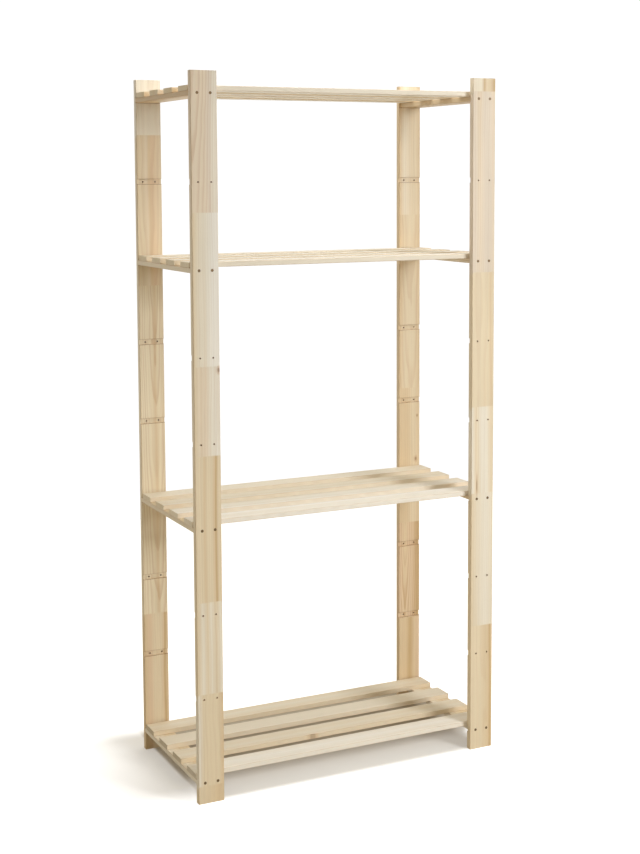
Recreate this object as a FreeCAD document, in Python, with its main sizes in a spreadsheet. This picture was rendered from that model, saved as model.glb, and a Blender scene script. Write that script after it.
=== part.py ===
import FreeCAD, Part
import Sketcher
import math
import os

# Free-standing shelving unit of unfinished pine: four flat posts, and four slatted shelves between them.
# Each shelf is four slats stapled to two bearers. The bearers' ends sit in grooves across the posts and
# are screwed there through the faces of the posts.
# Millimetres, +Z up, +X to the right, +Y to the back, with the origin on the floor under the middle.

doc = FreeCAD.newDocument("shelving_unit")
sheet = doc.addObject("Spreadsheet::Sheet", "Sizes")

driving_sizes = {
    # Plan of the whole unit, over the posts
    "unit_width": 805,
    "unit_depth": 389,
    # Posts, and the rows of hole pairs that set the shelf heights
    "post_width": 64,
    "post_thickness": 16,
    "row_count": 9,
    "row_pitch": 200,
    "row_margin": 50,
    "hole_spacing": 32,
    "hole_diameter": 4,
    # Rows, counted from the floor, that carry the two middle shelves
    "lower_shelf_row": 4,
    "upper_shelf_row": 7,
    # Grooves across the inner face of a post
    "groove_depth": 4,
    "groove_headroom": 1,
    # Bearers, with the wood left between the inner screw and the edge
    "bearer_thickness": 12,
    "bearer_edge_distance": 9,
    "bearer_end_gap": 0.2,
    # Slats, with the gap that the end slats leave to the posts
    "slat_count": 4,
    "slat_width": 57,
    "slat_thickness": 12,
    "slat_end_gap": 4.5,
    # Rounding of the long edges of every board
    "edge_round": 1.5,
    # Countersunk wood screws with a cross recess
    "screw_length": 40,
    "screw_shank_diameter": 3.5,
    "screw_head_diameter": 7,
    "screw_head_angle": 90,
    "screw_point_length": 5,
    "recess_length": 3.2,
    "recess_width": 0.8,
    "recess_depth": 1.2,
    # Wire staples that hold the slats from below
    "staple_crown": 11,
    "staple_wire": 1.2,
    "staple_bite": 8,
    "staple_spacing": 30,
    # Room round a fastener in its hole, and past its point
    "fastener_clearance": 0.05,
    "point_clearance": 0.5,
}
for line, (name, size) in enumerate(driving_sizes.items(), start=1):
    sheet.set(f"A{line}", name)
    sheet.set(f"B{line}", str(size))
    sheet.setAlias(f"B{line}", name)
doc.recompute()

# The row that each shelf is screwed to
shelf_rows = {
    "bottom_shelf": "1",
    "lower_shelf": "Sizes.lower_shelf_row",
    "upper_shelf": "Sizes.upper_shelf_row",
    "top_shelf": "Sizes.row_count",
}

# Sizes and places that follow from the driving ones
post_height = "(2 * Sizes.row_margin + (Sizes.row_count - 1) * Sizes.row_pitch)"
post_spacing = "(Sizes.unit_width - Sizes.post_width)"
inner_depth = "(Sizes.unit_depth - 2 * Sizes.post_thickness)"
groove_height = "(Sizes.bearer_thickness + Sizes.groove_headroom)"
bearer_width = "((Sizes.post_width + Sizes.hole_spacing) / 2 + Sizes.bearer_edge_distance)"
bearer_length = f"({inner_depth} + 2 * Sizes.groove_depth - 2 * Sizes.bearer_end_gap)"
bearer_spacing = f"(Sizes.unit_width - {bearer_width})"
slat_pitch = f"(({inner_depth} - 2 * Sizes.slat_end_gap - Sizes.slat_width) / (Sizes.slat_count - 1))"
first_slat = f"(Sizes.slat_end_gap + (Sizes.slat_width - {inner_depth}) / 2)"
head_overhang = "((Sizes.screw_head_diameter - Sizes.screw_shank_diameter) / 2)"
screw_head_height = f"({head_overhang} / tan(Sizes.screw_head_angle / 2 * 1 deg))"
post_web = "(Sizes.post_thickness - Sizes.groove_depth + Sizes.bearer_end_gap)"
pilot_diameter = "(Sizes.screw_shank_diameter + 2 * Sizes.fastener_clearance)"
pilot_depth = f"(Sizes.screw_length - {post_web} + Sizes.point_clearance)"
crown_slot = "(Sizes.staple_crown + 2 * Sizes.fastener_clearance)"
leg_slot = "(Sizes.staple_wire + 2 * Sizes.fastener_clearance)"
leg_centres = "(Sizes.staple_crown - Sizes.staple_wire)"
staple_leg = "(Sizes.bearer_thickness + Sizes.staple_bite)"

# Holes, screws and staples come in pairs, and a rear piece is a front one turned about
pair = "2"
half_turn = 180


def row_height(row):
    """Height of a row of holes above the floor."""
    return f"(Sizes.row_margin + ({row} - 1) * Sizes.row_pitch)"


def value(expression):
    """The number that an expression stands for now."""
    return float(sheet.evalExpression(expression))


def bind(feature, **expressions):
    """Ties properties of a feature to expressions."""
    for name, expression in expressions.items():
        feature.setExpression(name, expression)


def new_body(label, x, y, z, turn=0):
    """An empty piece at a place in the unit, turned by a number of degrees about the upright axis."""
    body = doc.addObject("PartDesign::Body", label)
    body.Label = label
    body.Placement.Rotation = FreeCAD.Rotation(FreeCAD.Vector(0, 0, 1), turn)
    for axis, place in (("x", x), ("y", y), ("z", z)):
        body.setExpression(f"Placement.Base.{axis}", place)
    return body


def origin_feature(body, role):
    """One of the body's own planes or axes."""
    return next(feature for feature in body.Origin.OriginFeatures if feature.Role == role)


def new_sketch(body, name, plane, offset=None):
    """A sketch on one of the body's own planes, or at an offset along that plane's normal."""
    sketch = body.newObject("Sketcher::SketchObject", f"{body.Label}_{name}")
    sketch.AttachmentSupport = [(origin_feature(body, plane), "")]
    sketch.MapMode = "FlatFace"
    if offset:
        sketch.setExpression("AttachmentOffset.Base.z", offset)
    return sketch


def dimension(sketch, kind, elements, expression):
    """A dimension in a sketch that follows an expression."""
    index = sketch.addConstraint(Sketcher.Constraint(kind, *elements, value(expression)))
    sketch.setExpression(f"Constraints[{index}]", expression)


def draw_outline(sketch, corners):
    """A closed outline of straight lines, each corner held at its place from the sketch's origin."""
    points = [FreeCAD.Vector(value(x), value(y), 0) for x, y in corners]
    first = sketch.GeometryCount
    last = first + len(points) - 1
    for start, end in zip(points, points[1:] + points[:1]):
        sketch.addGeometry(Part.LineSegment(start, end))
    for number, (x, y) in enumerate(corners):
        line = first + number
        before = line - 1 if number else last
        sketch.addConstraint(Sketcher.Constraint("Coincident", before, 2, line, 1))
        dimension(sketch, "DistanceX", (-1, 1, line, 1), x)
        dimension(sketch, "DistanceY", (-1, 1, line, 1), y)


def draw_rectangle(sketch, x, y, width, height):
    """A rectangle about a centre."""
    left, right = f"{x} - {width} / 2", f"{x} + {width} / 2"
    low, high = f"{y} - {height} / 2", f"{y} + {height} / 2"
    draw_outline(sketch, [(left, low), (right, low), (right, high), (left, high)])


def draw_circle(sketch, x, y, diameter):
    """A circle about a centre."""
    centre = FreeCAD.Vector(value(x), value(y), 0)
    circle = sketch.addGeometry(Part.Circle(centre, FreeCAD.Vector(0, 0, 1), value(diameter) / 2))
    dimension(sketch, "DistanceX", (-1, 1, circle, 3), x)
    dimension(sketch, "DistanceY", (-1, 1, circle, 3), y)
    dimension(sketch, "Diameter", (circle,), diameter)


def pad(body, sketch, length, symmetric=False):
    """A sketch drawn out into a solid."""
    feature = body.newObject("PartDesign::Pad", f"{sketch.Name}_pad")
    feature.Profile = sketch
    feature.SideType = "Symmetric" if symmetric else "One side"
    bind(feature, Length=length)
    return feature


def pocket(body, sketch, depth=None, upward=False, symmetric=False):
    """A cut of a stated depth, or right through where none is stated."""
    feature = body.newObject("PartDesign::Pocket", f"{sketch.Name}_pocket")
    feature.Profile = sketch
    feature.Reversed = upward
    feature.SideType = "Symmetric" if symmetric else "One side"
    if depth:
        bind(feature, Length=depth)
    else:
        feature.Type = "ThroughAll"
    return feature


def repeat(body, features, *steps):
    """Copies of features along the body's axes: each step is an axis, a spacing and a count."""
    name = f"{features[0].Name}_repeat"
    transform = body.newObject("PartDesign::MultiTransform", name)
    patterns = []
    for axis, spacing, count in steps:
        pattern = doc.addObject("PartDesign::LinearPattern", f"{name}_step")
        pattern.Direction = (origin_feature(body, axis), [""])
        pattern.Mode = "Spacing"
        bind(pattern, Offset=spacing, Occurrences=count)
        patterns.append(pattern)
    transform.Originals = features
    transform.Transformations = patterns
    body.Tip = transform


def board(body, plane, width, thickness, length, symmetric):
    """A planed board: a section with rounded corners, drawn out along the grain."""
    section = new_sketch(body, "section", plane)
    radius = value("Sizes.edge_round")
    half_width, half_thickness = value(width) / 2, value(thickness) / 2
    flat_x, flat_y = half_width - radius, half_thickness - radius

    # Four straight sides in turn round the section, then the four arcs that follow them
    bottom, right, top, left = range(4)
    sides = [(-flat_x, -half_thickness, flat_x, -half_thickness), (half_width, -flat_y, half_width, flat_y)]
    sides += [(-x1, -y1, -x2, -y2) for x1, y1, x2, y2 in sides]
    for x1, y1, x2, y2 in sides:
        section.addGeometry(Part.LineSegment(FreeCAD.Vector(x1, y1, 0), FreeCAD.Vector(x2, y2, 0)))
    quarter_turn = math.pi / 2
    arc_centres = [(flat_x, -flat_y), (flat_x, flat_y), (-flat_x, flat_y), (-flat_x, -flat_y)]
    for number, (x, y) in enumerate(arc_centres):
        circle = Part.Circle(FreeCAD.Vector(x, y, 0), FreeCAD.Vector(0, 0, 1), radius)
        section.addGeometry(Part.ArcOfCircle(circle, (number - 1) * quarter_turn, number * quarter_turn))

    for side in (bottom, right, top, left):
        arc = len(sides) + side
        following = (side + 1) % len(sides)
        direction = "Horizontal" if side in (bottom, top) else "Vertical"
        section.addConstraint(Sketcher.Constraint(direction, side))
        section.addConstraint(Sketcher.Constraint("Tangent", side, 2, arc, 1))
        section.addConstraint(Sketcher.Constraint("Tangent", arc, 2, following, 1))
        dimension(section, "Radius", (arc,), "Sizes.edge_round")
    first_arc, opposite_arc = len(sides) + bottom, len(sides) + top
    section.addConstraint(Sketcher.Constraint("Symmetric", first_arc, 3, opposite_arc, 3, -1, 1))
    dimension(section, "DistanceX", (left, 1, right, 1), width)
    dimension(section, "DistanceY", (bottom, 1, top, 1), thickness)
    pad(body, section, length, symmetric)


def post(label, x, y, turn):
    """A post, its outer face to the front until it is turned: grooves and hole pairs at every row, and
    countersinks for the screw heads at the rows of the shelves."""
    body = new_body(label, x, y, "0", turn)
    board(body, "XY_Plane", "Sizes.post_width", "Sizes.post_thickness", post_height, symmetric=False)

    first_row = row_height("1")
    groove = new_sketch(body, "groove", "YZ_Plane")
    groove_bottom = f"{first_row} - Sizes.bearer_thickness / 2"
    groove_top = f"{groove_bottom} + {groove_height}"
    groove_floor = "Sizes.post_thickness / 2 - Sizes.groove_depth"
    past_the_face = "Sizes.post_thickness"
    draw_outline(groove, [(groove_floor, groove_bottom), (past_the_face, groove_bottom),
                          (past_the_face, groove_top), (groove_floor, groove_top)])
    groove_cut = pocket(body, groove, symmetric=True)

    holes = new_sketch(body, "holes", "XZ_Plane")
    for side in (-1, 1):
        draw_circle(holes, f"{side} * Sizes.hole_spacing / 2", first_row, "Sizes.hole_diameter")
    holes_cut = pocket(body, holes, symmetric=True)
    repeat(body, [groove_cut, holes_cut], ("Z_Axis", "Sizes.row_pitch", "Sizes.row_count"))

    countersinks = new_sketch(body, "countersinks", "XZ_Plane", offset="Sizes.post_thickness / 2")
    mouth = "Sizes.screw_head_diameter + 2 * Sizes.fastener_clearance"
    for row in shelf_rows.values():
        for side in (-1, 1):
            draw_circle(countersinks, f"{side} * Sizes.hole_spacing / 2", row_height(row), mouth)
    countersinks_cut = pocket(body, countersinks, screw_head_height)
    bind(countersinks_cut, TaperAngle="-Sizes.screw_head_angle / 2")
    body.Tip = countersinks_cut
    return body


def bearer(label, x, z, turn):
    """A bearer, its outer side to the left until it is turned: pilot holes in both ends, and slots that
    the staples are driven through from below."""
    body = new_body(label, x, "0", z, turn)
    board(body, "XZ_Plane", bearer_width, "Sizes.bearer_thickness", bearer_length, symmetric=True)

    pilots = new_sketch(body, "pilots", "XZ_Plane", offset=f"{bearer_length} / 2")
    for side in (-1, 1):
        pilot = f"(Sizes.post_width + {side} * Sizes.hole_spacing - {bearer_width}) / 2"
        draw_circle(pilots, pilot, "0", pilot_diameter)
    pilots_cut = pocket(body, pilots, pilot_depth)
    both_ends = body.newObject("PartDesign::Mirrored", f"{label}_both_ends")
    both_ends.Originals = [pilots_cut]
    both_ends.MirrorPlane = (origin_feature(body, "XZ_Plane"), [""])
    body.Tip = both_ends

    underside = "-Sizes.bearer_thickness / 2"
    first_staple = f"{first_slat} - Sizes.staple_spacing / 2"
    crown = new_sketch(body, "crown", "XY_Plane", offset=underside)
    draw_rectangle(crown, "0", first_staple, crown_slot, leg_slot)
    crown_cut = pocket(body, crown, "Sizes.staple_wire + Sizes.fastener_clearance", upward=True)
    legs = new_sketch(body, "legs", "XY_Plane", offset=underside)
    for side in (-1, 1):
        draw_rectangle(legs, f"{side} * {leg_centres} / 2", first_staple, leg_slot, leg_slot)
    legs_cut = pocket(body, legs, upward=True)
    repeat(body, [crown_cut, legs_cut],
           ("Y_Axis", "Sizes.staple_spacing", pair), ("Y_Axis", slat_pitch, "Sizes.slat_count"))
    return body


def slat(label, y, z):
    """A slat across the whole width, with the blind slots that the staples bite into."""
    body = new_body(label, "0", y, z)
    board(body, "YZ_Plane", "Sizes.slat_width", "Sizes.slat_thickness", "Sizes.unit_width", symmetric=True)

    legs = new_sketch(body, "legs", "XY_Plane", offset="-Sizes.slat_thickness / 2")
    for side in (-1, 1):
        leg = f"({side} * {leg_centres} - {bearer_spacing}) / 2"
        draw_rectangle(legs, leg, "-Sizes.staple_spacing / 2", leg_slot, leg_slot)
    legs_cut = pocket(body, legs, "Sizes.staple_bite + Sizes.point_clearance", upward=True)
    repeat(body, [legs_cut], ("Y_Axis", "Sizes.staple_spacing", pair), ("X_Axis", bearer_spacing, pair))
    return body


def screws(label, x, y, z, turn):
    """The screws along one face of a shelf, two through each post, heads to the front until turned."""
    body = new_body(label, x, y, z, turn)
    profile = new_sketch(body, "profile", "XY_Plane")
    head, shank = "Sizes.screw_head_diameter / 2", "Sizes.screw_shank_diameter / 2"
    point_start = "Sizes.screw_length - Sizes.screw_point_length"
    draw_outline(profile, [("0", "0"), (head, "0"), (shank, screw_head_height),
                           (shank, point_start), ("0", "Sizes.screw_length")])
    turned = body.newObject("PartDesign::Revolution", f"{label}_turned")
    turned.Profile = profile
    turned.ReferenceAxis = (profile, ["V_Axis"])

    cuts = []
    for name, width, height in (("recess", "Sizes.recess_length", "Sizes.recess_width"),
                                ("cross_recess", "Sizes.recess_width", "Sizes.recess_length")):
        recess = new_sketch(body, name, "XZ_Plane")
        draw_rectangle(recess, "0", "0", width, height)
        cuts.append(pocket(body, recess, "Sizes.recess_depth"))
    repeat(body, [turned, *cuts], ("X_Axis", "Sizes.hole_spacing", pair), ("X_Axis", post_spacing, pair))
    return body


def staples(label, z):
    """The staples of one shelf, crowns flush with the undersides of the bearers."""
    body = new_body(label, f"-{bearer_spacing} / 2", f"{first_slat} - Sizes.staple_spacing / 2", z)
    bend = new_sketch(body, "bend", "XZ_Plane")
    outside, inside = "Sizes.staple_crown / 2", "(Sizes.staple_crown / 2 - Sizes.staple_wire)"
    draw_outline(bend, [(f"-{outside}", "0"), (outside, "0"), (outside, staple_leg), (inside, staple_leg),
                        (inside, "Sizes.staple_wire"), (f"-{inside}", "Sizes.staple_wire"),
                        (f"-{inside}", staple_leg), (f"-{outside}", staple_leg)])
    wire = pad(body, bend, "Sizes.staple_wire", symmetric=True)
    repeat(body, [wire], ("Y_Axis", "Sizes.staple_spacing", pair), ("Y_Axis", slat_pitch, "Sizes.slat_count"),
           ("X_Axis", bearer_spacing, pair))
    return body


pieces = []
sides = (("left", -1, 0), ("right", 1, half_turn))
faces = (("front", -1, 0), ("rear", 1, half_turn))

for face, depthwise, turn in faces:
    for side, sideways, _ in sides:
        x = f"{sideways} * {post_spacing} / 2"
        y = f"{depthwise} * (Sizes.unit_depth - Sizes.post_thickness) / 2"
        pieces.append(post(f"{face}_{side}_post", x, y, turn))

for shelf, row in shelf_rows.items():
    height = row_height(row)
    for side, sideways, turn in sides:
        x = f"{sideways} * {bearer_spacing} / 2"
        pieces.append(bearer(f"{shelf}_{side}_bearer", x, height, turn))
    slat_height = f"{height} + (Sizes.bearer_thickness + Sizes.slat_thickness) / 2"
    for number in range(round(value("Sizes.slat_count"))):
        y = f"{first_slat} + {number} * {slat_pitch}"
        pieces.append(slat(f"{shelf}_slat_{number + 1}", y, slat_height))
    for face, depthwise, turn in faces:
        x = f"{depthwise} * ({post_spacing} + Sizes.hole_spacing) / 2"
        y = f"{depthwise} * Sizes.unit_depth / 2"
        pieces.append(screws(f"{shelf}_{face}_screws", x, y, height, turn))
    pieces.append(staples(f"{shelf}_staples", f"{height} - Sizes.bearer_thickness / 2"))

doc.recompute()

for feature in doc.Objects:
    if "Invalid" in feature.State or "Error" in feature.State:
        raise RuntimeError(f"{feature.Label} failed: {feature.State}")
    if feature.TypeId == "PartDesign::Pocket" and feature.Shape.Volume >= feature.BaseFeature.Shape.Volume:
        raise RuntimeError(f"{feature.Label} cuts nothing")
for piece in pieces:
    if piece.Shape.isNull() or not piece.Shape.isValid():
        raise RuntimeError(f"{piece.Label} has no valid shape")

os.makedirs("parts", exist_ok=True)
for piece in pieces:
    piece.Shape.exportStep(f"parts/{piece.Label}.step")
    print(piece.Label, len(piece.Shape.Solids), round(piece.Shape.Volume, 1))
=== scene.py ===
import math
import random
from collections import namedtuple

import bmesh
import bpy
from mathutils import Matrix, Vector


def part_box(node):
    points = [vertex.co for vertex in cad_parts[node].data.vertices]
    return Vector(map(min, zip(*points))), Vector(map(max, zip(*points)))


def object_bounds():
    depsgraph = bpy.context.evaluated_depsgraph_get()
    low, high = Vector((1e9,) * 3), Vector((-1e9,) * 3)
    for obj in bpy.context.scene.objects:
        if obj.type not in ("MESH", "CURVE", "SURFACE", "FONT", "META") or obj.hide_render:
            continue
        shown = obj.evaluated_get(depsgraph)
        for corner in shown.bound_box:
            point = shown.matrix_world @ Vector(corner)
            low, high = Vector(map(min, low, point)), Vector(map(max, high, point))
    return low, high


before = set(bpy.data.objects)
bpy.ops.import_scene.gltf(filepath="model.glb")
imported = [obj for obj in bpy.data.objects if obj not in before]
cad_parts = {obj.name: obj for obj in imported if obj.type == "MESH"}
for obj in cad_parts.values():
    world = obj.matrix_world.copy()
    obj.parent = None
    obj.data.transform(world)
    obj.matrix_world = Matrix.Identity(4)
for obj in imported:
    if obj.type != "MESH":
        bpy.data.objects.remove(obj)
cad_low, cad_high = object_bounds()

# Posts
# Four flat boards of unfinished pine that stand with the wide face to the front. Each is made up of short
# lengths glued end to end with finger joints, planed as one board, grooved on its inner face and drilled.


class Field:
    """A number, colour or vector that changes over a surface: an output socket in a tree of nodes."""

    def __init__(self, tree, socket=None):
        self.tree = tree
        self.socket = socket

    def node(self, kind, settings, inputs, output=0):
        """Adds a node: its settings are set first, then its sockets get their values or links."""
        made = self.tree.nodes.new(kind)
        for name, setting in settings.items():
            if name == "stops":
                stops = made.color_ramp.elements
                stops.remove(stops[1])
                stops[0].position, stops[0].color = setting[0]
                for position, colour in setting[1:]:
                    stops.new(position).color = colour
            else:
                setattr(made, name, setting)
        for name, given in inputs.items():
            if isinstance(given, Field):
                self.tree.links.new(given.socket, made.inputs[name])
            else:
                made.inputs[name].default_value = given
        return Field(self.tree, made.outputs[output] if len(made.outputs) else None)

    def other(self, output):
        """Another output of the same node."""
        return Field(self.tree, self.socket.node.outputs[output])

    def math(self, operation, *values):
        """A Math node on the given numbers and fields."""
        return self.node("ShaderNodeMath", {"operation": operation}, dict(enumerate(values)))

    def __add__(self, value):
        return self.math("ADD", self, value)

    def __radd__(self, value):
        return self.math("ADD", value, self)

    def __sub__(self, value):
        return self.math("SUBTRACT", self, value)

    def __rsub__(self, value):
        return self.math("SUBTRACT", value, self)

    def __mul__(self, value):
        return self.math("MULTIPLY", self, value)

    def __rmul__(self, value):
        return self.math("MULTIPLY", value, self)

    def __truediv__(self, value):
        return self.math("DIVIDE", self, value)

    def __rtruediv__(self, value):
        return self.math("DIVIDE", value, self)

    def __pow__(self, value):
        return self.math("POWER", self, value)

    def __abs__(self):
        return self.math("ABSOLUTE", self)


def rise(value, low, high):
    """0 below low, 1 above high, and a smooth rise between them."""
    return value.node("ShaderNodeMapRange", {"interpolation_type": "SMOOTHSTEP"},
                      {"Value": value, "From Min": low, "From Max": high})


def blend(first, second, share):
    """The first colour with a share of the second mixed in."""
    field = share if isinstance(share, Field) else first
    return field.node("ShaderNodeMix", {"data_type": "RGBA"}, {0: share, 6: first, 7: second}, 2)


def dim(colour, brightness):
    """A colour made darker or lighter."""
    return brightness.node("ShaderNodeVectorMath", {"operation": "SCALE"}, {0: colour, "Scale": brightness})


def new_material(name):
    """An empty material, and a field that its nodes are made from."""
    material = bpy.data.materials.new(name)
    material.use_nodes = True
    material.node_tree.nodes.clear()
    return material, Field(material.node_tree)


def finish_node(node, material):
    """Gives a piece of the frame its material."""
    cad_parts[node].material_slots[0].material = material


def tone(red, green, blue):
    """A colour given as it looks on a screen, 0 to 255, as the light that it stands for."""
    shares = [level / 255 for level in (red, green, blue)]
    return (*[s / 12.92 if s <= 0.04045 else ((s + 0.055) / 1.055) ** 2.4 for s in shares], 1.0)


milk = tone(250, 245, 236)
ivory = tone(247, 240, 227)
cream = tone(240, 230, 211)
oat = tone(237, 224, 200)
butter = tone(241, 226, 196)
straw = tone(233, 215, 183)
honey = tone(227, 203, 165)
shell = tone(231, 215, 194)
rose = tone(235, 217, 191)
peach = tone(232, 205, 172)
amber = tone(208, 177, 130)
latewood = tone(188, 136, 82)
sawn_end = tone(228, 208, 174)
knot_brown = tone(120, 76, 42)
# Painted shade: the dark brown painted along the groove lips and into the drilled holes
lip_and_hole_dark = tone(142, 96, 56)

# A length of wood in a board: where it starts in millimetres from the low end, the colours of its bands
# with their places across the board, where its pith lies across the board as a share of the width, and how
# far it is cut flat to the rings
Length = namedtuple("Length", "start bands pith flat", defaults=(None, 0.0))
# A knot: its place from the low end and from the middle of the width, its radius, and how drawn out it is
Knot = namedtuple("Knot", "along across radius stretch", defaults=(1.7,))

mm_in_metre = 1000
# In millimetres
finger_pitch, finger_depth = 4.0, 10.0
joint_blur = 2.0
ring_width, ring_wobble = 5.0, 8.0
first_row, row_pitch = 50.0, 200.0
groove_below, groove_above, groove_depth = 6.0, 7.0, 4.0
hole_spacing, hole_diameter = 32.0, 4.0


def board_axes(wood, node, grain):
    """A board's axes with the grain first, the places along, across and through it in millimetres from its
    middle, and its sizes in the same order."""
    low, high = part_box(node)
    middle, size = (low + high) / 2, (high - low) * mm_in_metre
    order = [grain] + [axis for axis in (0, 1, 2) if axis != grain]
    place = wood.node("ShaderNodeTexCoord", {}, {}, "Object")
    axes = wood.node("ShaderNodeSeparateXYZ", {}, {"Vector": place})
    places = [(axes.other("XYZ"[axis]) - middle[axis]) * mm_in_metre for axis in order]
    return ["XYZ"[axis] for axis in order], places, [size[axis] for axis in order]


def groove_lines_and_hole_shade(colour, from_end, across, inward, thickness):
    """Dark lines painted along the lips of the grooves: a painted shadow under the upper lip and a darker
    line along the lower one, and painted shade in the drilled holes. The grooves are only on the inner face."""
    lip = (0.3, 1.3)
    lower_lip_dark, upper_lip_shadow, hole_shade = 0.85, 0.45, 0.8
    hole_edge, hole_shade_rim = hole_diameter / 2, 0.6
    inner_face = thickness / 2
    by_inner_face = (inner_face - groove_depth - 0.5, inner_face - groove_depth / 2)
    up_from_row = (colour.math("FRACT", (from_end - first_row) / row_pitch + 0.5) - 0.5) * row_pitch
    lower_lip = 1 - rise(abs(up_from_row + groove_below), *lip)
    upper_lip = 1 - rise(abs(up_from_row - groove_above), *lip)
    lip_dark = (lower_lip * lower_lip_dark + upper_lip * upper_lip_shadow) * rise(inward, *by_inner_face)
    colour = blend(colour, lip_and_hole_dark, lip_dark)
    side_of_hole = abs(across) - hole_spacing / 2
    from_hole = (side_of_hole * side_of_hole + up_from_row * up_from_row) ** 0.5
    return blend(colour, lip_and_hole_dark, (1 - rise(from_hole, hole_edge, hole_edge + hole_shade_rim)) * hole_shade)


def pine(node, grain, lengths, seed, knots=(), grooved_side=0, grain_contrast=1.0, narrow_face_shade=0.0,
         end_tone_and_shade=1.05):
    """Planed pine for one board: bands and growth rings, streaks and fibres along the grain, sawn ends."""
    luck = random.Random(seed)
    material, wood = new_material(f"{node}_pine")
    axes, (along, across, through), (board_length, width, thickness) = board_axes(wood, node, grain)
    from_end = along + board_length / 2

    # The glued lengths meet in fingers, which show as a zigzag on the narrow sides
    joints, soft_joints = [], []
    if len(lengths) > 1:
        fingers = wood.math("PINGPONG", through, finger_pitch / 2) * (2 * finger_depth / finger_pitch)
        glued = from_end + fingers
        joints = [wood.math("GREATER_THAN", glued, piece.start) for piece in lengths[1:]]
        soft_joints = [rise(glued, piece.start - joint_blur, piece.start + joint_blur)
                       for piece in lengths[1:]]

    def by_length(values):
        """A number that changes at each joint."""
        total = values[0]
        for beyond, before, after in zip(joints, values, values[1:]):
            total = total + beyond * (after - before)
        return total

    widest_shift, pith_range = 90.0, (-1.4, 2.4)
    shift = by_length([luck.uniform(0, widest_shift) for piece in lengths])
    pith = by_length([luck.uniform(*pith_range) if piece.pith is None else piece.pith for piece in lengths])
    flat = by_length([piece.flat for piece in lengths])
    from_start = from_end - by_length([piece.start for piece in lengths])

    def streaks(per_mm_along, per_mm_across, detail):
        """Noise drawn out along the grain."""
        spread = wood.node("ShaderNodeCombineXYZ", {}, {
            "X": along * per_mm_along + shift, "Y": across * per_mm_across, "Z": through * per_mm_across})
        return wood.node("ShaderNodeTexNoise", {}, {"Vector": spread, "Scale": 1.0, "Detail": detail})

    # Bands of sapwood and heartwood, which wander a little along the board
    band_sway = 0.2
    band_place = across / width + 0.5 + (streaks(0.003, 0.008, 1.0) - 0.5) * band_sway
    colour, *later_colours = [wood.node("ShaderNodeValToRGB", {"stops": piece.bands}, {"Fac": band_place})
                              for piece in lengths]
    for beyond, later_colour in zip(soft_joints, later_colours):
        colour = blend(colour, later_colour, beyond)

    # Growth rings about the pith, which leans out of the board where the length is cut flat
    near_pith, far_pith, flame_tip = 12.0, 50.0, 270.0
    upright_lean, flat_lean = 0.004, 0.045
    lean = upright_lean + flat_lean * flat
    ring_across = across - (pith - 0.5) * width
    ring_depth = through + near_pith + far_pith * (1 - flat) + (flame_tip - from_start) * lean
    wobble = (streaks(0.006, 0.03, 2.0) - 0.5) * ring_wobble
    radius = (ring_across * ring_across + ring_depth * ring_depth) ** 0.5 + wobble

    # A knot pushes the rings aside. How far its push, its core and its rim reach is in radii of the knot
    push_reach, core_reach, rim_reach = (0.8, 4.0), (0.6, 1.15), (1.0, 2.6)
    push = 1.6
    knot_core, knot_rim = 0.0, 0.0
    for knot in knots:
        reach_along = (from_end - knot.along) / knot.stretch
        reach_across = across - knot.across
        reach = (reach_along * reach_along + reach_across * reach_across) ** 0.5 / knot.radius
        radius = radius + (1 - rise(reach, *push_reach)) * (knot.radius * push)
        knot_core = wood.math("MAXIMUM", knot_core, 1 - rise(reach, *core_reach))
        knot_rim = wood.math("MAXIMUM", knot_rim, 1 - rise(reach, *rim_reach))

    # Each ring darkens to its late wood and ends sharply, and some are darker than others
    darkening, ending = (0.3, 0.84), (0.88, 1.0)
    palest_ring = 0.3
    ring = radius / ring_width
    in_ring, ring_number = wood.math("FRACT", ring), wood.math("FLOOR", ring)
    ring_luck = wood.node(
        "ShaderNodeTexWhiteNoise", {"noise_dimensions": "1D"}, {"W": ring_number}, "Value")
    ring_darkness = palest_ring + (1 - palest_ring) * ring_luck
    late = rise(in_ring, *darkening) * (1 - rise(in_ring, *ending)) * ring_darkness

    # The finer figure: stains, clouds, lines, fibres and short resin canals
    stained, resinous = (0.56, 0.72), (0.68, 0.78)
    stain = rise(streaks(0.0012, 0.075, 2.0), *stained)
    cloud = streaks(0.0035, 0.03, 2.0) - 0.5
    lines = streaks(0.002, 0.34, 2.0) - 0.5
    fibre = streaks(0.028, 1.5, 2.0) - 0.5
    canal = rise(streaks(0.09, 2.1, 1.0), *resinous)
    stain_share, canal_share = 0.3 * grain_contrast, 0.2 * grain_contrast
    upright_late, flat_late = 0.13, 0.35
    late_share = upright_late + flat_late * flat
    cloud_depth, line_depth, fibre_depth = 0.14, 0.13, 0.1
    shading = (cloud * cloud_depth + lines * line_depth + fibre * fibre_depth) * grain_contrast
    colour = blend(colour, honey, stain * stain_share)
    colour = blend(colour, latewood, late * late_share * grain_contrast)
    colour = blend(colour, latewood, canal * canal_share)
    colour = dim(colour, 1 + shading)

    # The arrises are a little darker
    arris, arris_share = (0.2, 2.0), 0.3
    inset = wood.math("MAXIMUM", width / 2 - abs(across), thickness / 2 - abs(through))
    colour = blend(colour, latewood, (1 - rise(inset, *arris)) * arris_share)
    if knots:
        rim_share, core_share = 0.4, 0.5
        colour = blend(colour, latewood, knot_rim * rim_share)
        colour = blend(colour, knot_brown, knot_core * core_share)
    if grooved_side:
        # Painted shadow and darker lines at the groove lips, and painted shade in the holes
        colour = groove_lines_and_hole_shade(colour, from_end, across, through * grooved_side, thickness)

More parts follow.
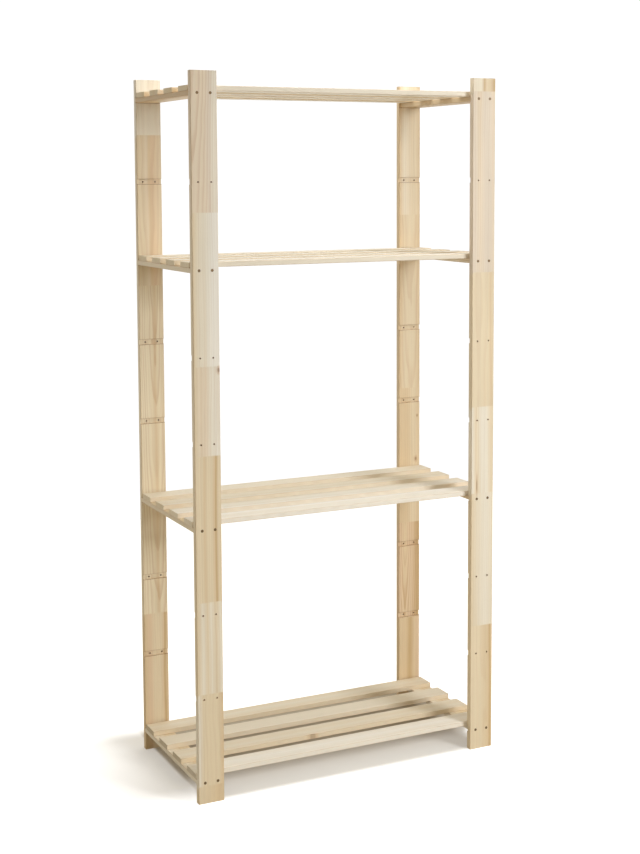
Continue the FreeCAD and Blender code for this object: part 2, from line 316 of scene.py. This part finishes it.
    # The narrow edges get painted shade, a little darker than the faces as they are lit less from above, and
    # the sawn ends are rough
    turned = (0.6, 0.9)
    end_share, end_fibre = 0.6, 0.25
    normal = wood.node("ShaderNodeNewGeometry", {}, {}, "Normal")
    facing = wood.node("ShaderNodeSeparateXYZ", {}, {"Vector": normal})
    if narrow_face_shade:
        edge = rise(abs(facing.other(axes[1])), *turned)
        colour = blend(colour, honey, edge * narrow_face_shade)
    end = rise(abs(facing.other(axes[0])), *turned)
    # The ends' brightness is their own tone, and on the bottom slats painted shade
    end_colour = dim(blend(colour, sawn_end, end_share), end_tone_and_shade + fibre * end_fibre)
    colour = blend(colour, end_colour, end)

    bump_strength, bump_distance = 0.08 * grain_contrast, 0.0003
    planed, fuzz, sawn = 0.54, 0.1 * grain_contrast, 0.25
    fibre_height, late_height, canal_depth = 0.6, 0.35, 0.4
    height = fibre * fibre_height + late * late_height - canal * canal_depth
    bump = wood.node("ShaderNodeBump", {}, {
        "Strength": bump_strength, "Distance": bump_distance, "Height": height})
    surface = wood.node("ShaderNodeBsdfPrincipled", {}, {
        "Base Color": colour, "Roughness": planed + fibre * fuzz + end * sawn, "Normal": bump})
    wood.node("ShaderNodeOutputMaterial", {}, {"Surface": surface})
    finish_node(node, material)


# The front posts have their grooves on the rear face, and the rear posts on the front face
along_z = 2
toward_back, toward_front = 1, -1
pine("front_left_post", along_z, [
    Length(0, [(0.1, straw), (0.9, honey)]),
    Length(42, [(0.05, cream), (0.2, straw), (0.8, straw), (0.95, honey)]),
    Length(262, [(0.05, straw), (0.25, cream), (0.42, straw), (0.55, cream), (0.75, straw), (0.95, cream)]),
    Length(480, [(0.1, straw), (0.26, straw), (0.36, honey), (0.46, straw), (0.64, straw), (0.74, honey),
                 (0.8, amber), (0.88, straw)]),
    Length(823, [(0.05, straw), (0.2, rose), (0.45, rose), (0.65, cream), (0.95, ivory)]),
    Length(1030, [(0.04, straw), (0.22, oat), (0.5, cream), (0.75, ivory)]),
    Length(1381, [(0.0, rose), (0.5, rose), (0.7, shell), (0.85, cream)], 0.05, 0.5),
], seed=11, knots=[Knot(1021, 29, 3.2)], grooved_side=toward_back)
pine("front_right_post", along_z, [
    Length(0, [(0.05, straw), (0.5, straw), (0.8, honey), (0.88, amber), (0.95, honey)]),
    Length(322, [(0.05, straw), (0.3, oat), (0.65, cream), (0.95, oat)]),
    Length(664, [(0.05, cream), (0.22, straw), (0.45, cream), (0.7, cream), (0.9, straw)]),
    Length(884, [(0.05, straw), (0.45, straw), (0.75, straw), (0.88, honey), (0.97, straw)]),
    Length(1222, [(0.05, shell), (0.35, rose), (0.55, shell), (0.75, shell), (0.95, rose)]),
    Length(1668, [(0.05, oat), (0.38, oat), (0.5, amber), (0.6, straw), (0.8, honey), (0.92, amber)]),
], seed=23, knots=[Knot(684, -16, 1.4, 12.0)], grooved_side=toward_back)
pine("rear_left_post", along_z, [
    Length(0, [(0.05, honey), (0.25, peach), (0.45, straw), (0.72, straw), (0.82, honey), (0.87, amber),
               (0.95, honey)]),
    Length(354, [(0.05, butter), (0.4, butter), (0.54, straw), (0.64, honey), (0.74, butter),
                 (0.95, straw)], 0.62, 0.55),
    Length(1192, [(0.05, straw), (0.3, straw), (0.42, rose), (0.52, honey), (0.66, peach),
                  (0.95, straw)], 0.45, 0.25),
    Length(1565, [(0.05, cream), (0.5, cream), (0.95, cream)]),
], seed=37, grooved_side=toward_front)
pine("rear_right_post", along_z, [
    Length(0, [(0.05, honey), (0.3, honey), (0.55, amber), (0.75, honey), (0.95, peach)]),
    Length(241, [(0.05, peach), (0.3, honey), (0.55, peach), (0.9, amber)], 0.3, 1.0),
    Length(510, [(0.05, honey), (0.4, honey), (0.7, straw), (0.95, honey)]),
    Length(884, [(0.05, honey), (0.3, straw), (0.7, straw), (0.95, honey)], 0.55, 0.3),
    Length(1357, [(0.05, honey), (0.3, oat), (0.6, straw), (0.8, straw), (0.95, honey)]),
], seed=53, knots=[Knot(686, 20, 3.0), Knot(806, 24, 1.8)], grooved_side=toward_front)

# Bearers
# Two flat battens of the same pine under each shelf, front to back at the left and right ends. Their ends
# sit in the grooves of the posts, where they are screwed.

along_y = 1
shelves = ("bottom_shelf", "lower_shelf", "upper_shelf", "top_shelf")
draw = random.Random(41)
bearer_tones = {
    "bottom_shelf": (straw, cream, straw),
    "lower_shelf": (straw, honey, honey),
    "upper_shelf": (straw, straw, honey),
    "top_shelf": (honey, amber, honey),
}
middle_of_band = (0.3, 0.7)


def plain_bands(tones):
    """Bands of the given colours, about as wide as each other, from one edge of a board to the other."""
    return [((number + draw.uniform(*middle_of_band)) / len(tones), colour)
            for number, colour in enumerate(tones)]


for shelf in shelves:
    for side in ("left", "right"):
        tones = draw.sample(bearer_tones[shelf], len(bearer_tones[shelf]))
        pine(f"{shelf}_{side}_bearer", along_y, [Length(0, plain_bands(tones))], draw.random())

# Slats
# Four thin boards across each shelf, planed and cut square at the ends, and stapled to the bearers from
# below. Their paleness is partly painted light: the front boards of the lower and bottom shelves are palest,
# as they are lit more than those behind, and the middle shelves have the palest boards partly as painted
# sheen. One on the bottom shelf has a knot in its front edge.

along_x = 0
slat_grain_contrast = 0.6
slat_pith_range = (1.4, 2.4)
# Painted shade on the slats' front and back faces: a little on the front slat, more on those behind it
front_face_shade, hidden_face_shade = 0.12, 0.4
# Painted shade on the ends of the bottom slats, which stand low beside the shaded floor; the other ends keep
# their own tone
bottom_end_painted_shade, open_end_tone = 0.78, 1.05
# Tones of the boards with painted light in them: paler toward the front, and paler on the middle shelves as
# painted sheen
slat_tones_and_painted_light = {
    "bottom_shelf": (
        (ivory, milk, ivory), (oat, cream, oat, cream), (cream, cream, cream), (oat, cream, oat)),
    "lower_shelf": (
        (ivory, milk), (ivory, ivory, ivory, cream), (cream, oat, cream, oat), (cream, cream, cream)),
    "upper_shelf": (
        (cream, ivory, ivory), (cream, ivory, cream), (cream, cream, ivory), (cream, cream, cream, oat)),
    "top_shelf": (
        (cream, cream, cream), (straw, cream), (cream, straw, cream), (straw, cream, cream)),
}
slat_knots = {"bottom_shelf_slat_2": [Knot(352, -28.5, 2.0, 4.0)]}
for shelf in shelves:
    for number, tones in enumerate(slat_tones_and_painted_light[shelf], 1):
        node = f"{shelf}_slat_{number}"
        lengths = [Length(0, plain_bands(tones), draw.uniform(*slat_pith_range))]
        pine(node, along_x, lengths, draw.random(), slat_knots.get(node, ()),
             grain_contrast=slat_grain_contrast,
             narrow_face_shade=front_face_shade if number == 1 else hidden_face_shade,
             end_tone_and_shade=bottom_end_painted_shade if shelf == "bottom_shelf" else open_end_tone)

# Screws
# Countersunk wood screws, two through each post into the end of each bearer, of steel with a dark passivated
# skin that is rubbed bright in spots.

dark_skin, brown_skin, bare_steel = tone(116, 92, 66), tone(148, 122, 90), tone(172, 156, 130)
mottle_scale, bare_spots, bare_share = 900.0, (0.55, 0.75), 0.5
skin_metal, skin_roughness, bare_polish = 0.85, 0.5, 0.15
material, steel = new_material("dark_screw_steel")
place = steel.node("ShaderNodeTexCoord", {}, {}, "Object")
mottle = steel.node("ShaderNodeTexNoise", {}, {"Vector": place, "Scale": mottle_scale, "Detail": 3.0})
rubbed = rise(mottle, *bare_spots)
colour = blend(blend(dark_skin, brown_skin, mottle), bare_steel, rubbed * bare_share)
surface = steel.node("ShaderNodeBsdfPrincipled", {}, {
    "Base Color": colour, "Metallic": skin_metal, "Roughness": skin_roughness - rubbed * bare_polish})
steel.node("ShaderNodeOutputMaterial", {}, {"Surface": surface})
for shelf in shelves:
    for face in ("front", "rear"):
        finish_node(f"{shelf}_{face}_screws", material)

# Staples
# Bent from flat galvanised wire and driven up through the bearers into the slats, two at each crossing. Only
# their crowns show, on the undersides of the bearers.

dull_zinc, bright_zinc = tone(168, 168, 165), tone(208, 208, 204)
spangle_scale, spangle_fuzz = 600.0, 0.18
zinc_metal, zinc_roughness = 0.9, 0.32
material, wire = new_material("galvanised_staple_wire")
place = wire.node("ShaderNodeTexCoord", {}, {}, "Object")
spangle = wire.node("ShaderNodeTexNoise", {}, {"Vector": place, "Scale": spangle_scale, "Detail": 2.0})
colour = blend(dull_zinc, bright_zinc, spangle)
surface = wire.node("ShaderNodeBsdfPrincipled", {}, {
    "Base Color": colour, "Metallic": zinc_metal, "Roughness": zinc_roughness + spangle * spangle_fuzz})
wire.node("ShaderNodeOutputMaterial", {}, {"Surface": surface})
for shelf in shelves:
    finish_node(f"{shelf}_staples", material)

# Floor
# A wide floor of white paper with no edge in sight. Away from the unit it glows for the camera enough to run
# into the background. Beside and under the unit the glow is held back over a painted patch of shade, so the
# floor there shows its shade, and the deepest part is painted browner and darker.

floor_reach = 2.6
floor_mesh = bpy.data.meshes.new("studio_floor")
outline = bmesh.new()
bmesh.ops.create_grid(outline, x_segments=1, y_segments=1, size=floor_reach)
outline.to_mesh(floor_mesh)
outline.free()
floor = bpy.data.objects.new("studio_floor", floor_mesh)
bpy.context.scene.collection.objects.link(floor)
material, paper = new_material("white_floor")
place = paper.node("ShaderNodeTexCoord", {}, {}, "Object")
axes = paper.node("ShaderNodeSeparateXYZ", {}, {"Vector": place})
from_left, from_front = axes.other("X") - cad_low.x, axes.other("Y") - cad_low.y

# The distances over which the shade comes and goes, in metres from the unit's left side or from its front.
# Toward the back it runs on past the right end
beside_left, beside_front = (-0.26, 0.03), (0.0, 0.12)
under_left, under_front, under_middle = (0.0, 0.03), (-0.005, 0.022), (0.06, 0.2)
shade_right, shade_back = (0.78, 0.82), (0.45, 0.54)
deep_left, deep_right, deep_back = (0.0, 0.08), (0.74, 0.81), (0.44, 0.5)
run_on_front, run_on = (0.1, 0.2), 0.07
beside_share, under_front_share, under_middle_share = 0.66, 0.74, 0.26
past_right = from_left - rise(from_front, *run_on_front) * run_on
middle = rise(from_front, *under_middle)
beside = rise(from_left, *beside_left) * rise(from_front, *beside_front) * beside_share
under = rise(from_left, *under_left) * (
    rise(from_front, *under_front) * under_front_share + middle * under_middle_share)
shaded = (paper.math("MAXIMUM", beside, under)
          * (1 - rise(past_right, *shade_right)) * (1 - rise(from_front, *shade_back)))
# Painted deep shade: the paper under the unit is painted browner and darker
painted_deep_shade = (rise(from_left, *deep_left) * (1 - rise(past_right, *deep_right))
        * middle * (1 - rise(from_front, *deep_back)))

white, paper_white, paper_shade = (1.0, 1.0, 1.0, 1.0), (0.75, 0.725, 0.68, 1.0), (0.57, 0.5, 0.41, 1.0)
glow_share, glow_strength = 0.32, 3.0
seen = paper.node("ShaderNodeLightPath", {}, {}, "Is Camera Ray")
lit = (1 - shaded) * glow_share
matt_paper, shaded_paper = [paper.node("ShaderNodeBsdfDiffuse", {}, {"Color": shade})
                            for shade in (paper_white, paper_shade)]
matt = paper.node("ShaderNodeMixShader", {}, {0: painted_deep_shade, 1: matt_paper, 2: shaded_paper})
glow = paper.node("ShaderNodeEmission", {}, {"Color": white, "Strength": glow_strength})
surface = paper.node("ShaderNodeMixShader", {}, {0: seen * lit, 1: matt, 2: glow})
paper.node("ShaderNodeOutputMaterial", {}, {"Surface": surface})
floor_mesh.materials.append(material)

# Studio light
# A gridded soft box to the right of the camera and a little above the unit, aimed at its foot, one higher up
# and one overhead. The room is warm and dim, with a bright backdrop behind, and the camera sees it as white.

warm_white, cool_white = (1.0, 0.89, 0.66, 1.0), (0.98, 1.0, 1.0, 1.0)
room_level, ceiling_level, wall_level = 0.07, 0.43, 0.15
backdrop_level, white_level = 1.85, 1.05
world = bpy.data.worlds.new("studio_room")
world.use_nodes = True
world.node_tree.nodes.clear()
room = Field(world.node_tree)
direction = room.node("ShaderNodeTexCoord", {}, {}, "Generated")
turn = room.node("ShaderNodeSeparateXYZ", {}, {"Vector": direction})
up, behind = [room.math("MAXIMUM", turn.other(axis), 0.0) for axis in "ZY"]
sideways = abs(turn.other("X"))
backdrop_low = behind * behind * (1 - up) ** 2
warm_light = room.node("ShaderNodeBackground", {}, {
    "Color": warm_white, "Strength": room_level + ceiling_level * up + wall_level * sideways})
backdrop_light = room.node("ShaderNodeBackground", {}, {
    "Color": cool_white, "Strength": backdrop_level * backdrop_low})
room_light = room.node("ShaderNodeAddShader", {}, {0: warm_light, 1: backdrop_light})
backdrop = room.node("ShaderNodeBackground", {}, {"Color": white, "Strength": white_level})
seen = room.node("ShaderNodeLightPath", {}, {}, "Is Camera Ray")
sky = room.node("ShaderNodeMixShader", {}, {0: seen, 1: room_light, 2: backdrop})
room.node("ShaderNodeOutputWorld", {}, {"Surface": sky})
bpy.context.scene.world = world

daylight = (0.965, 1.0, 1.05)
unit_middle = (cad_low + cad_high) / 2
foot_height = 0.3
soft_box_bearing, soft_box_distance, soft_box_height = math.radians(28), 3.6, 1.86
soft_box_place = (soft_box_distance * math.sin(soft_box_bearing),
                  -soft_box_distance * math.cos(soft_box_bearing), soft_box_height)
high_box_place, overhead_box_place = (1.3, -2.2, 2.75), (0.1, 0.02, 2.75)
# Each light's place, the height that it is aimed at, its width and height, the angle in degrees that it
# spreads over, and its power
for name, place, aim, width, height, spread, power in (
        ("soft_box", soft_box_place, foot_height, 0.8, 1.1, 90, 14.9),
        ("high_box", high_box_place, unit_middle.z, 0.9, 0.9, 90, 4.8),
        ("overhead_box", overhead_box_place, unit_middle.z, 1.5, 0.6, 180, 19.9)):
    light = bpy.data.lights.new(name, "AREA")
    light.shape = "RECTANGLE"
    light.size, light.size_y = width, height
    light.energy = power
    light.spread = math.radians(spread)
    light.color = daylight
    lamp = bpy.data.objects.new(name, light)
    lamp.location = place
    lamp.rotation_mode = "QUATERNION"
    beam = Vector((unit_middle.x, unit_middle.y, aim)) - lamp.location
    lamp.rotation_quaternion = beam.to_track_quat("-Z", "Y")
    bpy.context.scene.collection.objects.link(lamp)

# Camera
# Set where the photograph was taken from: a little below the top of the unit, to the left of its front. Part
# of the way down is a shift of the picture and the rest is a dip, so that the posts stand nearly upright.

image_height = 854
focal_pixels = 1468.0
shift_pixels = -115.0
camera_place = (-1.5932, -3.2959, 1.4627)
heading = math.radians(25.97)
dip = math.radians(5.297)
roll = math.radians(-0.263)
lens = bpy.data.cameras.new("camera")
lens.sensor_width = 36.0
lens.lens = lens.sensor_width * focal_pixels / image_height
lens.shift_y = shift_pixels / image_height
camera = bpy.data.objects.new("camera", lens)
camera.matrix_world = (Matrix.Translation(camera_place) @ Matrix.Rotation(-heading, 4, "Z")
                       @ Matrix.Rotation(math.pi / 2 - dip, 4, "X") @ Matrix.Rotation(roll, 4, "Z"))
bpy.context.scene.collection.objects.link(camera)
bpy.context.scene.camera = camera
bpy.context.scene.view_settings.view_transform = "Standard"
